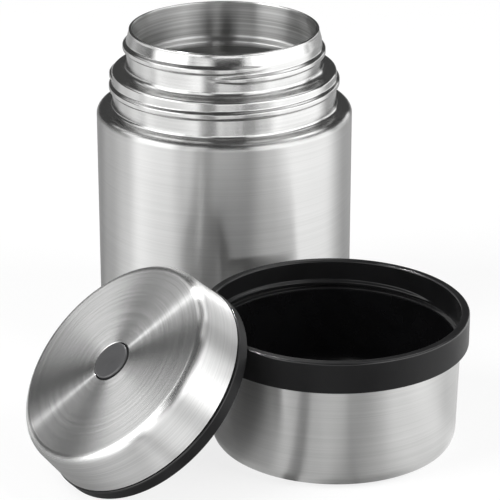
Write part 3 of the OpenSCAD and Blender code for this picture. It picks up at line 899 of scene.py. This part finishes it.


# Brightness of the studio round the object, as metal shows it: soft boxes in a dim room, and
# patches of painted light in the table's glow. Turns and widths are degrees, from the camera to its
# right; low and high are degrees above the table; soft is how wide the fading edges are. A patch of
# painted light adds its level to the table's glow close by and far off, and a gap of painted shade
# round the bowl takes a share away.
studioSettings = {
    "dim": 0.09,
    "boxes": {
        "left": {"turn": -65, "width": 45, "low": -1, "high": 43, "soft": (16, 15), "level": 3.4},
        "front": {"turn": 13, "width": 52, "low": -5, "high": 7, "soft": (8, 7), "level": 4.2},
        "leftFront": {"turn": -27, "width": 24, "low": 12, "high": 43, "soft": (14, 14),
                      "level": 2},
        "rightFront": {"turn": 41, "width": 33, "low": 5, "high": 45, "soft": (5, 14),
                       "level": 0.81},
        "right": {"turn": 74, "width": 71, "low": -3, "high": 21, "soft": (22, 14), "level": 3.1},
        "rightUp": {"turn": 57, "width": 56, "low": 18, "high": 50, "soft": (16, 14),
                    "level": 0.99},
        "rightTop": {"turn": 109, "width": 53, "low": 49, "high": 92, "soft": (20, 14),
                     "level": 0.99},
        "backRight": {"turn": 134, "width": 33, "low": -4, "high": 14, "soft": (8, 8),
                      "level": 1.8},
        "backTop": {"turn": 144, "width": 48, "low": 42, "high": 60, "soft": (12, 12),
                    "level": 2.2},
        "backLeft": {"turn": -130, "width": 13, "low": 28, "high": 64, "soft": (8, 12),
                     "level": 1.3},
        "leftSide": {"turn": -103, "width": 20, "low": 24, "high": 44, "soft": (10, 11),
                     "level": 2.4},
    },
    "middle": (0, -0.05),             # m, the place that the patches are seen from
    "reach": (0.15, 0.45),            # m from there, where the table is close and far
    "close": 0.24,
    "far": 0.26,
    # patches of painted light in the table's glow, which only metal shows
    "paintedLightPatches": {
        "farLeft": {"turn": -57, "width": 64, "soft": 12, "close": 0, "far": 1.75},
        "left": {"turn": -97, "width": 33, "soft": 16, "close": 0.63, "far": 0.2},
        "rightFront": {"turn": 49, "width": 25, "soft": 13, "close": 0.74, "far": 0.43},
        "right": {"turn": 88, "width": 65, "soft": 21, "close": 0.64, "far": 1.2},
        "front": {"turn": 6, "width": 28, "soft": 7, "close": 0.45, "far": 0.5},
        "leftBack": {"turn": -113, "width": 43, "soft": 16, "close": 0.24, "far": 0.43},
        "back": {"turn": 181, "width": 61, "soft": 16, "close": 0.2, "far": 0},
    },
    # gaps of painted shade in the table's glow, which darken the bowl's reflection
    "paintedShadeGaps": {                         # seen from the bowl's middle
        "left": {"turn": -23, "width": 8, "soft": 4, "depth": 0.85},
        "side": {"turn": -77, "width": 48, "soft": 14, "depth": 0.4},
        "front": {"turn": 9.5, "width": 3, "soft": 2, "depth": 0.45},
    },
    "matt": 0.5,                      # level that matt surfaces get from all round
    "beyond": 1.13,                   # level that the camera sees beyond the table
}


def direction(turn, up):
    # the way to a place in the studio, from its turn and its height in degrees
    turn, up = math.radians(turn), math.radians(up)
    return (math.sin(turn) * math.cos(up), -math.cos(turn) * math.cos(up), math.sin(up))


def turnFrom(tree, x, y):
    # degrees from the camera to its right
    turn = maths(tree, "ARCTAN2", x, times(tree, y, -1))
    return times(tree, turn, 180 / math.pi)


def within(tree, away, width, soft):
    # 1 where away is less than half the width, with a fading edge
    return remap(tree, away, ((width + soft) / 2, (width - soft) / 2), (0, 1), True)


def withinTurn(tree, turn, middle, width, soft):
    away = maths(tree, "PINGPONG", minus(tree, turn, middle), 180)
    return within(tree, away, width, soft)


def roomLevel(tree, way, s):
    # the dim room and the sum of its soft boxes
    x, y, z = partsOf(tree, way)
    turn = turnFrom(tree, x, y)
    up = times(tree, maths(tree, "ARCSINE", z), 180 / math.pi)
    level = s["dim"]
    for box in s["boxes"].values():
        away = maths(tree, "ABSOLUTE", minus(tree, up, (box["low"] + box["high"]) / 2))
        softTurn, softUp = box["soft"]
        share = times(tree, withinTurn(tree, turn, box["turn"], box["width"], softTurn),
                      within(tree, away, box["high"] - box["low"], softUp))
        level = weighted(tree, level, (share, box["level"]))
    return level


def tableLevel(tree, s):
    # the table's glow as metal mirrors it, close by and farther out, with its patches of painted
    # light and gaps of painted shade round the bowl
    x, y = partsOf(tree, objectPlace(tree))[:2]
    right, onward = minus(tree, x, s["middle"][0]), minus(tree, y, s["middle"][1])
    turn = turnFrom(tree, right, onward)
    close, far = s["close"], s["far"]
    for lightPatch in s["paintedLightPatches"].values():
        share = withinTurn(tree, turn, lightPatch["turn"], lightPatch["width"], lightPatch["soft"])
        close = weighted(tree, close, (share, lightPatch["close"]))
        far = weighted(tree, far, (share, lightPatch["far"]))
    away = maths(tree, "SQRT", plus(tree, times(tree, right, right), times(tree, onward, onward)))
    level = blend(tree, remap(tree, away, s["reach"], (0, 1)), close, far)
    # painted shade: the gaps round the bowl's middle darken the glow
    turn = turnFrom(tree, minus(tree, x, collarMiddle.x), minus(tree, y, collarMiddle.y))
    for shadeGap in s["paintedShadeGaps"].values():
        share = withinTurn(tree, turn, shadeGap["turn"], shadeGap["width"], shadeGap["soft"])
        level = times(tree, level, remap(tree, share, (0, 1), (1, 1 - shadeGap["depth"])))
    return level


def makeStudio(s):
    # metal sees the room, matt surfaces a plain level, and the camera a pale background
    world = bpy.data.worlds.new("studio")
    scene.world = world
    world.use_nodes = True
    world.cycles.sampling_method = "NONE"
    tree = world.node_tree
    tree.nodes.clear()
    way = add(tree, "ShaderNodeTexCoord").outputs["Generated"]
    straight, mirrored = seenStraight(tree)
    plain = blend(tree, straight, s["matt"], s["beyond"])
    level = blend(tree, mirrored, plain, roomLevel(tree, way, s))
    sky = add(tree, "ShaderNodeBackground", None, {"Strength": level})
    add(tree, "ShaderNodeOutputWorld", None, {0: sky.outputs[0]})


# two soft boxes for matt surfaces, and a small lamp behind that metal alone shows as a thin line
lampSettings = {
    "leftSoftBox": {"turn": -65, "up": 40, "away": 2.2, "size": 1.4, "power": 32.0, "metal": False},
    "rightSoftBox": {"turn": 70, "up": 35, "away": 2.2, "size": 1.4, "power": 26.0, "metal": False},
    "lineLamp": {"turn": -158, "up": 55, "away": 2.2, "size": 0.03, "power": 20.0, "metal": True},
}
lampAim = Vector((0, -0.06, 0.06))    # m, in the middle of the three things


def makeLamp(name, s):
    # a lamp that points at the object and lights either its matt surfaces or its metal
    data = bpy.data.lights.new(name, "AREA")
    data.shape, data.size, data.energy = "DISK", s["size"], s["power"]
    lamp = bpy.data.objects.new(name, data)
    way = Vector(direction(s["turn"], s["up"]))
    lamp.location = lampAim + way * s["away"]
    lamp.rotation_euler = way.to_track_quat("Z", "Y").to_euler()
    lamp.visible_glossy = s["metal"]
    lamp.visible_diffuse = not s["metal"]
    scene.collection.objects.link(lamp)


makeFloor(floorSettings, studioSettings)
makeStudio(studioSettings)
for name, s in lampSettings.items():
    makeLamp(name, s)
print("studio made")
